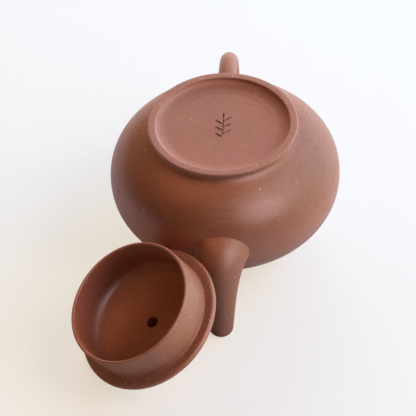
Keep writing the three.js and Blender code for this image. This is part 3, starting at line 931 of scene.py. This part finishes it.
sprig.links.new(s_in.outputs["Geometry"], press.inputs["Mesh 1"])
sprig.links.new(tool_place.outputs["Geometry"], press.inputs["Mesh 2"])
end_tree(sprig, press.outputs["Mesh"], s_in, s_out)
print("the sprig's tree has", len(sprig.nodes), "nodes")

# %% [markdown]
# The tree is run on the base disc. The walls of the mark are left gritty, because nothing has
# smoothed them, and they look darker for it.

# %% The pressed sprig
base_mesh = apply_tree(
    base_mesh,
    sprig,
    {
        "Leaves": SPRIG_LEAVES,
        "Length": SPRIG_LENGTH,
        "Leaf length": LEAF_LENGTH,
        "Leaf width": LEAF_WIDTH,
        "Depth": MARK_DEPTH,
        "Middle": (pot_axis.x, pot_axis.y, pot_height - RECESS_DEPTH),
        "Material": base_clay,
    },
)
paint(
    base_mesh,
    "gritty",
    POT_PLACE,
    lambda r, h: 0.9 if r < SPRIG_LENGTH and h > RECESS_DEPTH + HAIR / 5 else 0.0,
)
add_piece("base_slab", base_mesh, "pot", "base_disc", base_clay, sharp=6)

# %% [markdown]
# The closing slab and the mouth ring are under the pot here. The slab carries the wall's curve on
# to the mouth. The ring has a flat top with softened edges, and a straight bore for the flange.

# %% Shoulder slab and mouth ring
FLANGE_RADIUS = 25.05 * MM
FLANGE_CLEARANCE = 0.4 * MM
MOUTH_EDGE = 0.5 * MM
bore = FLANGE_RADIUS + FLANGE_CLEARANCE
shoulder_outline = line_up(
    wall_line(WALL, bore, 1, SHOULDER_RADIUS, 1, 16),
    wall_line(0, SHOULDER_RADIUS, 1, LID_RADIUS, 1, 16),
    [(LID_RADIUS, MOUTH_FLOOR), (bore, MOUTH_FLOOR)],
)
shoulder_mesh = turned_mesh("shoulder", shoulder_outline, POT_PLACE)
add_piece("shoulder_slab", shoulder_mesh, "pot", "shoulder_disc", burnished)

mouth_outline = line_up(
    [(bore, MOUTH_FLOOR), (LID_RADIUS, MOUTH_FLOOR)],
    arc((LID_RADIUS - MOUTH_EDGE, pot_height - MOUTH_EDGE), MOUTH_EDGE, 0, 90, 6),
    arc((bore + MOUTH_EDGE, pot_height - MOUTH_EDGE), MOUTH_EDGE, 90, 180, 6),
)
mouth_mesh = turned_mesh("mouth", mouth_outline, POT_PLACE)
paint(mouth_mesh, "rubbed", POT_PLACE, lambda r, h: 0.8 * near(h - pot_height, 1.0 * MM))
add_piece("mouth_ring_clay", mouth_mesh, "pot", "mouth_ring", bare_clay)

# %% [markdown]
# The spout is a tube rolled on a stick, bent once, and cut level with the mouth. It can be swept
# along its centre line: the sections stand square to the line at the root, and turn level
# towards the tip, so that the cut is a true level cut. Its lip is rounded over half the wall.

# %% The spout's centre line
SPOUT_PROJECTION = 20 * MM
SPOUT_ROOT_RUN = 8 * MM
SPOUT_TIP_RUN = 20 * MM
SPOUT_LEAN = math.radians(27)
SPOUT_TIP_RADIUS = 4.7 * MM
SPOUT_TAPER = 3.3 * MM
SPOUT_ROOT_FLARE = 4.8 * MM
SPOUT_ROOT_RISE = 1.6 * MM
SPOUT_WALL = 1.8 * MM
SPOUT_STEPS = 72
SPOUT_SIDES = 72
SPOUT_LEVEL_SHARE = 0.55
FINE_STEPS = 600

lean_up = Vector((0, -math.sin(SPOUT_LEAN), math.cos(SPOUT_LEAN)))
tip_middle = Vector(
    (0, SPOUT_TIP_RADIUS / math.cos(SPOUT_LEAN) - BELLY_RADIUS - SPOUT_PROJECTION, pot_height)
)
root = Vector((0, SPOUT_ROOT_RUN / 2 - BELLY_RADIUS, SPOUT_ROOT_HEIGHT))
beyond = tip_middle + lean_up * SPOUT_TIP_RADIUS
spout_corners = (root, root - Vector((0, SPOUT_ROOT_RUN, 0)), beyond - lean_up * SPOUT_TIP_RUN, beyond)


def on_curve(corners, t):
    """The point and the direction at t on a cubic Bezier."""
    a, b, c, d = corners
    point = a * (1 - t) ** 3 + b * 3 * t * (1 - t) ** 2 + c * 3 * t * t * (1 - t) + d * t**3
    slope = (b - a) * (1 - t) ** 2 + (c - b) * 2 * t * (1 - t) + (d - c) * t * t
    return point, slope.normalized()


def even_curve(corners, until, steps):
    """Evenly spaced points and directions along a cubic Bezier, up to a height."""
    fine = [on_curve(corners, i / FINE_STEPS) for i in range(FINE_STEPS + 1)]
    fine = [pair for pair in fine if pair[0].z <= until or pair[0].y > corners[1].y]
    along = [0.0]
    for (p, _), (q, _) in zip(fine, fine[1:]):
        along.append(along[-1] + (q - p).length)
    picked = []
    for i in range(steps + 1):
        want = along[-1] * i / steps
        k = min(range(len(along)), key=lambda n: abs(along[n] - want))
        picked.append(fine[k])
    return picked, along[-1]


LIP = SPOUT_WALL / 2
spout_line, spout_length = even_curve(spout_corners, pot_height - LIP, SPOUT_STEPS)
print(f"spout centre line {spout_length / MM:.1f} mm long")

# %% [markdown]
# Each section is an ellipse on the centre line. The rings go up the outside, over the lip and
# down the inside, so the tube is one closed wall. Its root is trimmed by the body, and it is
# darker all over, and more and more towards the tip on the table, with painted shade.

# %% The rolled spout


def spout_radius(t, flare):
    return SPOUT_TIP_RADIUS + SPOUT_TAPER * (1 - t) + flare * (1 - t) ** 4


def spout_ring(i, inset, lift=0.0):
    """One section of the spout; inset shrinks it, and lift raises it along the pot's axis."""
    t = i / SPOUT_STEPS
    middle, heading = spout_line[i]
    level = near(1 - t, SPOUT_LEVEL_SHARE)
    facing = heading.lerp(Vector((0, 0, 1)), level).normalized()
    across = Vector((1, 0, 0))
    out = facing.cross(across).normalized()
    square = heading.cross(across).normalized()
    half_width = spout_radius(t, SPOUT_ROOT_FLARE) - inset
    half_height = (spout_radius(t, SPOUT_ROOT_RISE) - inset) / out.dot(square)
    ring = []
    for j in range(SPOUT_SIDES):
        a = 2 * math.pi * j / SPOUT_SIDES
        point = middle + across * half_width * math.cos(a) + out * half_height * math.sin(a)
        ring.append(point + Vector((0, 0, lift)))
    return ring


def looped_mesh(name, rings, place):
    """A closed mesh through rings of equal count; the last ring joins the first."""
    count = len(rings[0])
    vertices = [point for ring in rings for point in ring]
    faces = []
    for i in range(len(rings)):
        low, high = i * count, ((i + 1) % len(rings)) * count
        for j in range(count):
            k = (j + 1) % count
            faces.append((low + j, low + k, high + k, high + j))
    mesh = bpy.data.meshes.new(name)
    mesh.from_pydata(vertices, [], faces)
    mesh.transform(place)
    return mesh


LIP_STEPS = 8
rings = [spout_ring(i, 0.0) for i in range(SPOUT_STEPS + 1)]
for i in range(1, LIP_STEPS):
    a = math.pi * i / LIP_STEPS
    rings.append(spout_ring(SPOUT_STEPS, LIP * (1 - math.cos(a)), LIP * math.sin(a)))
rings += [spout_ring(i, SPOUT_WALL) for i in range(SPOUT_STEPS, -1, -1)]
spout_mesh = looped_mesh("spout", rings, POT_PLACE)
spout_mesh = cut(spout_mesh, wall_blank(WALL / 2))
paint(spout_mesh, "rubbed", POT_PLACE, lambda r, h: 0.7 * near(h - pot_height, 1.6 * MM))
# Painted shade: the whole spout is a little darker, and more so towards its tip on the table.
shade_rise = pot_height - BELLY_HEIGHT
paint(spout_mesh, "painted_shade", POT_PLACE, lambda r, h: 0.3 + 0.7 * (h - BELLY_HEIGHT) / shade_rise)
add_piece("rolled_spout", spout_mesh, "pot", "spout", burnished)

# %% [markdown]
# The strainer is a thimble of clay, pierced with a stick and luted into the wall behind the
# spout. Its holes repeat in rings on a dome, so Geometry Nodes drill them: for one ring, points
# by number around the dome, a drill on each that points outwards, and a Boolean.

# %% The thimble
STRAINER_WALL = 1.4 * MM
THIMBLE_STEPS = 64
STRAINER_HOLE_RADIUS = 0.95 * MM
STRAINER_RINGS = ((0, 1), (32, 6), (62, 8))  # degrees from the dome's top, holes

strainer_place = (
    POT_PLACE
    @ Matrix.Translation((0, WALL / 2 - BELLY_RADIUS, SPOUT_ROOT_HEIGHT))
    @ Matrix.Rotation(-math.pi / 2, 4, "X")
)
thimble_bore = STRAINER_RADIUS - STRAINER_WALL
thimble_outer = [(0, 0), (STRAINER_RADIUS, 0)] + arc((0, WALL), STRAINER_RADIUS, 0, 90, 16)
thimble_outer[-1] = (0, WALL + STRAINER_RADIUS)
thimble_inner = [(0, -WALL), (thimble_bore, -WALL)] + arc((0, WALL), thimble_bore, 0, 90, 16)
thimble_inner[-1] = (0, WALL + thimble_bore)
upright = Matrix.Identity(4)
thimble = cut(
    turned_mesh("thimble", line_up(thimble_outer), upright, THIMBLE_STEPS),
    turned_mesh("thimble_hollow", line_up(thimble_inner), upright, THIMBLE_STEPS),
)
print("plain thimble:", len(thimble.polygons), "faces")

# %% [markdown]
# The tree for one ring of holes: its points go round the dome at a tilt from the top, and the
# stick that makes the hole points straight out of the dome at each. It is run once for a ring.

# %% The pierced strainer
pierced, p_in, p_out = geometry_group(
    "pierced_ring",
    [
        ("Holes", "Int", 6),
        ("Tilt", "Float", 0.5),
        ("Dome radius", "Float", STRAINER_RADIUS),
        ("Dome level", "Float", WALL),
        ("Hole radius", "Float", STRAINER_HOLE_RADIUS),
        ("Material", "Material", None),
    ],
)
number = pierced.nodes.new("GeometryNodeInputIndex").outputs["Index"]
around_share = arithmetic(pierced, "DIVIDE", number, p_in.outputs["Holes"])
turn = arithmetic(pierced, "MULTIPLY", around_share, math.tau)
out_by = arithmetic(pierced, "SINE", p_in.outputs["Tilt"])
direction = vector_node(
    pierced,
    arithmetic(pierced, "MULTIPLY", out_by, arithmetic(pierced, "COSINE", turn)),
    arithmetic(pierced, "MULTIPLY", out_by, arithmetic(pierced, "SINE", turn)),
    arithmetic(pierced, "COSINE", p_in.outputs["Tilt"]),
)
ring_points = pierced.nodes.new("GeometryNodePoints")
pierced.links.new(p_in.outputs["Holes"], ring_points.inputs["Count"])
on_dome = pierced.nodes.new("ShaderNodeVectorMath")
on_dome.operation = "SCALE"
pierced.links.new(direction, on_dome.inputs[0])
pierced.links.new(p_in.outputs["Dome radius"], on_dome.inputs["Scale"])
raised = pierced.nodes.new("ShaderNodeVectorMath")
raised.operation = "ADD"
pierced.links.new(on_dome.outputs["Vector"], raised.inputs[0])
pierced.links.new(vector_node(pierced, 0.0, 0.0, p_in.outputs["Dome level"]), raised.inputs[1])
pierced.links.new(raised.outputs["Vector"], ring_points.inputs["Position"])
stick = pierced.nodes.new("GeometryNodeMeshCylinder")
stick.inputs["Vertices"].default_value = 20
pierced.links.new(p_in.outputs["Hole radius"], stick.inputs["Radius"])
pierced.links.new(p_in.outputs["Dome radius"], stick.inputs["Depth"])
aim_stick = pierced.nodes.new("FunctionNodeAlignRotationToVector")
aim_stick.axis = "Z"
pierced.links.new(direction, aim_stick.inputs["Vector"])
sticks = pierced.nodes.new("GeometryNodeInstanceOnPoints")
pierced.links.new(ring_points.outputs["Points"], sticks.inputs["Points"])
pierced.links.new(stick.outputs["Mesh"], sticks.inputs["Instance"])
pierced.links.new(aim_stick.outputs["Rotation"], sticks.inputs["Rotation"])
real_sticks = pierced.nodes.new("GeometryNodeRealizeInstances")
pierced.links.new(sticks.outputs["Instances"], real_sticks.inputs["Geometry"])
drill_through = pierced.nodes.new("GeometryNodeMeshBoolean")
drill_through.operation = "DIFFERENCE"
drill_through.solver = "EXACT"
pierced.links.new(p_in.outputs["Geometry"], drill_through.inputs["Mesh 1"])
pierced.links.new(real_sticks.outputs["Geometry"], drill_through.inputs["Mesh 2"])
end_tree(pierced, drill_through.outputs["Mesh"], p_in, p_out)

for tilt, holes in STRAINER_RINGS:
    thimble = apply_tree(
        thimble,
        pierced,
        {
            "Holes": holes,
            "Tilt": math.radians(tilt),
            "Dome radius": STRAINER_RADIUS - STRAINER_WALL / 2,
            "Dome level": WALL,
            "Hole radius": STRAINER_HOLE_RADIUS,
            "Material": bare_clay,
        },
    )
thimble.transform(strainer_place)
add_piece("pierced_thimble", thimble, "pot", "spout_strainer", bare_clay)

# %% [markdown]
# The handle is one roll of clay bent to an ear. It follows a path and is round in section, with
# a little more clay where it is luted on, so Geometry Nodes make it: a circle is swept along the
# path, with a scale that grows at its ends. The path's last stretch goes straight into the wall,
# which trims both roots. First the path.

# %% The handle's path
HANDLE_RADIUS = 3.68 * MM
HANDLE_ROOT_SWELL = 1 * MM
HANDLE_ROOT_INSET = 11 * MM
HANDLE_HIGH_ROOT = 11 * MM
HANDLE_RISE_DEPTH = 2 * MM
HANDLE_HIGH_LEVEL = 1.5 * MM
HANDLE_BACK_LEVEL = 17.5 * MM
HANDLE_BACK_RUN = 15.5 * MM
HANDLE_TAIL_RUN = 10 * MM
HANDLE_TAIL_DEPTH = 7 * MM
HANDLE_LUTED_DEPTH = 13 * MM
HANDLE_LOW_ROOT = 12 * MM
HANDLE_SPARE = 0.02 * MM
EAR_STEPS = 40

handle_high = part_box("handle")[1]
outermost = handle_high.y - pot_axis.y - HANDLE_RADIUS - HANDLE_SPARE
back_level = pot_height - HANDLE_BACK_LEVEL
high_level = pot_height - HANDLE_HIGH_LEVEL
high_root = (BELLY_RADIUS - HANDLE_ROOT_INSET, pot_height - HANDLE_HIGH_ROOT)
low_root = (BELLY_RADIUS - HANDLE_TAIL_DEPTH, HANDLE_LOW_ROOT)
# Each row is a point, the control before it and the control after it; each of these is a
# distance from the axis and a height.
ear_points = (
    (high_root, high_root, (BELLY_RADIUS - HANDLE_RISE_DEPTH, high_level)),
    ((outermost, back_level), (outermost, high_level), (outermost, back_level - HANDLE_BACK_RUN)),
    (low_root, (outermost - HANDLE_TAIL_RUN, HANDLE_LOW_ROOT), low_root),
)
path_points = []
for (start, _, leave), (finish, arrive, _) in zip(ear_points, ear_points[1:]):
    corners = [Vector((0, *corner)) for corner in (start, leave, arrive, finish)]
    first = 1 if path_points else 0
    path_points += [on_curve(corners, i / EAR_STEPS)[0] for i in range(first, EAR_STEPS + 1)]
path_points.append(Vector((0, BELLY_RADIUS - HANDLE_LUTED_DEPTH, HANDLE_LOW_ROOT)))
ear_path = bpy.data.meshes.new("ear_path")
ear_path.from_pydata(path_points, [(i, i + 1) for i in range(len(path_points) - 1)], [])
ear_path.transform(POT_PLACE)
print("the handle's path has", len(path_points), "points")

# %% [markdown]
# Now the strand on it. The scale grows only near the ends, because the distance from the middle
# is raised to a high power.

# %% The ear handle
SWELL_POWER = 12.0
strand, h_in, h_out = geometry_group(
    "rolled_strand",
    [
        ("Radius", "Float", HANDLE_RADIUS),
        ("Root swell", "Float", HANDLE_ROOT_SWELL),
        ("Material", "Material", None),
    ],
)
factor = strand.nodes.new("GeometryNodeSplineParameter").outputs["Factor"]
from_middle = arithmetic(strand, "SUBTRACT", arithmetic(strand, "MULTIPLY", factor, 2.0), 1.0)
from_middle = arithmetic(strand, "ABSOLUTE", from_middle)
near_ends = arithmetic(strand, "POWER", from_middle, SWELL_POWER)
swell = arithmetic(strand, "MULTIPLY", near_ends, h_in.outputs["Root swell"])
even = strand.nodes.new("GeometryNodeResampleCurve")
even.inputs["Count"].default_value = 90
line = strand.nodes.new("GeometryNodeMeshToCurve")
strand.links.new(h_in.outputs["Geometry"], line.inputs["Mesh"])
strand.links.new(line.outputs["Curve"], even.inputs["Curve"])
circle = strand.nodes.new("GeometryNodeCurvePrimitiveCircle")
circle.inputs["Resolution"].default_value = 56
circle.inputs["Radius"].default_value = 1.0
roll = strand.nodes.new("GeometryNodeCurveToMesh")
roll.inputs["Fill Caps"].default_value = True
strand.links.new(even.outputs["Curve"], roll.inputs["Curve"])
strand.links.new(arithmetic(strand, "ADD", h_in.outputs["Radius"], swell), roll.inputs["Scale"])
strand.links.new(circle.outputs["Curve"], roll.inputs["Profile Curve"])
end_tree(strand, roll.outputs["Mesh"], h_in, h_out)
handle_mesh = apply_tree(
    ear_path,
    strand,
    {"Radius": HANDLE_RADIUS, "Root swell": HANDLE_ROOT_SWELL, "Material": burnished},
)
print("handle strand:", len(handle_mesh.polygons), "faces")
handle_mesh = cut(handle_mesh, wall_blank(WALL / 2))
add_piece("rolled_handle", handle_mesh, "pot", "handle", burnished)

# %% [markdown]
# The lid is drawn the right way up too, with its seat at height 0: a domed slab, a ring that
# thickens its edge, a straight flange and a bead of a knob. The rim is a half-round of two
# pieces. The seat between rim and flange is scraped, so it is rough and shows its sand.

# %% The lid
RIM_ROUND = 1.25 * MM
FLANGE_WALL = 1.2 * MM
FLANGE_FOOT = 3.2 * MM
SEAT_COVE = 1.05 * MM
SEAT_COVE_DROP = 0.85 * MM
LID_RISE = 4.7 * MM
LID_WALL = 2.6 * MM
VENT_RADIUS = 2.35 * MM
VENT_TIP_RADIUS = 1.1 * MM

rim_centre = LID_RADIUS - RIM_ROUND
dome_radius = (rim_centre**2 + LID_RISE**2) / (2 * LID_RISE)
dome_top = 2 * RIM_ROUND + LID_RISE


def dome(radius, thickness):
    """The point on the dome at a radius, so far under its top face."""
    return (radius, dome_top - thickness - dome_radius + math.sqrt(dome_radius**2 - radius**2))


def dome_line(start, end, thickness, steps=24):
    return [dome(start + (end - start) * i / steps, thickness) for i in range(steps + 1)]


flange_bore = FLANGE_RADIUS - FLANGE_WALL
foot_start = flange_bore - FLANGE_FOOT
floor_level = dome(foot_start, LID_WALL)[1]
disc_outline = line_up(
    dome_line(VENT_RADIUS, foot_start, LID_WALL),
    [(foot_start, floor_level + HAIR), (flange_bore, RIM_ROUND)],
    arc((rim_centre, RIM_ROUND), RIM_ROUND, 0, 90, 10),
    dome_line(rim_centre, VENT_RADIUS, 0),
)
disc_mesh = turned_mesh("lid_disc", disc_outline, LID_PLACE)
paint(disc_mesh, "rubbed", LID_PLACE, lambda r, h: 0.6 * near(r - LID_RADIUS, 1.4 * MM))
add_piece("domed_slab", disc_mesh, "lid", "lid_disc", lid_clay)

# %% [markdown]
# Next the ring with the seat. A small cove joins the seat to the flange, which is a straight
# band with a round tip. Inside, the flange runs down into the dome in a wide soft curve.

# %% The seat and the flange
SEAT_SHIFT = 0.4 * MM
SEAT_GRIT_REACH = 2.2 * MM

rim_outline = line_up(
    [(FLANGE_RADIUS, RIM_ROUND), (FLANGE_RADIUS, -SEAT_COVE_DROP)],
    bend((FLANGE_RADIUS, -SEAT_COVE_DROP), (FLANGE_RADIUS, 0), (FLANGE_RADIUS + SEAT_COVE, 0), 10),
    arc((rim_centre, RIM_ROUND), RIM_ROUND, -90, 0, 12),
)
rim_mesh = turned_mesh("rim", rim_outline, LID_PLACE)
seat_middle = (FLANGE_RADIUS + rim_centre) / 2 + SEAT_SHIFT


def seat_grit(radius, height):
    return near(radius - seat_middle, SEAT_GRIT_REACH) * near(height, 1.0 * MM)


paint(rim_mesh, "gritty", LID_PLACE, seat_grit)
paint(rim_mesh, "rubbed", LID_PLACE, lambda r, h: 0.8 * near(r - LID_RADIUS, 1.1 * MM))
add_piece("seat_ring", rim_mesh, "lid", "lid_rim_ring", lid_clay)

tip_round = FLANGE_WALL / 2
flange_outline = line_up(
    arc((flange_bore + tip_round, tip_round - FLANGE_DEPTH), tip_round, 180, 360, 12),
    [(FLANGE_RADIUS, RIM_ROUND), (flange_bore, RIM_ROUND), (foot_start, floor_level + HAIR)],
    bend(
        (foot_start, floor_level),
        (flange_bore - 2 * HAIR, dome(flange_bore, LID_WALL)[1]),
        (flange_bore, -FLANGE_FOOT),
        18,
    ),
)
flange_mesh = turned_mesh("flange", flange_outline, LID_PLACE)
paint(flange_mesh, "rubbed", LID_PLACE, lambda r, h: 0.9 * near(h + FLANGE_DEPTH, 0.9 * MM))
add_piece("drop_flange", flange_mesh, "lid", "lid_flange", lid_clay)

# %% [markdown]
# The knob is a bead pressed flat at its poles, on a short neck, with the vent pierced through.

# %% The knob
KNOB_RADIUS = 6.6 * MM
KNOB_HEIGHT = 8.6 * MM
KNOB_NECK_RADIUS = 3.5 * MM
KNOB_NECK_HEIGHT = 0.9 * MM
KNOB_NECK_FLARE = 0.9 * MM
KNOB_BURIED = 0.3 * MM
BEAD_STEPS = 40
VENT_LIP = 0.3 * MM
VENT_LIP_DEPTH = 0.4 * MM

knob_base = dome_top - KNOB_BURIED
knob_centre = dome_top + KNOB_NECK_HEIGHT + KNOB_HEIGHT / 2
bead_start = -math.acos(KNOB_NECK_RADIUS / KNOB_RADIUS)
bead_end = math.acos((VENT_TIP_RADIUS + VENT_LIP) / KNOB_RADIUS)
bead = []
for i in range(BEAD_STEPS + 1):
    a = bead_start + (bead_end - bead_start) * i / BEAD_STEPS
    bead.append((KNOB_RADIUS * math.cos(a), knob_centre + KNOB_HEIGHT / 2 * math.sin(a)))
knob_top = bead[-1][1]
knob_outline = line_up(
    [(VENT_RADIUS, knob_base), (KNOB_NECK_RADIUS + KNOB_NECK_FLARE, knob_base)],
    bend((KNOB_NECK_RADIUS + KNOB_NECK_FLARE, dome_top), (KNOB_NECK_RADIUS, dome_top), bead[0], 6),
    bead,
    bend(bead[-1], (VENT_TIP_RADIUS, knob_top), (VENT_TIP_RADIUS, knob_top - VENT_LIP_DEPTH), 5),
)
knob_mesh = turned_mesh("knob", knob_outline, LID_PLACE, 96)
add_piece("bead_knob", knob_mesh, "lid", "lid_knob", burnished)
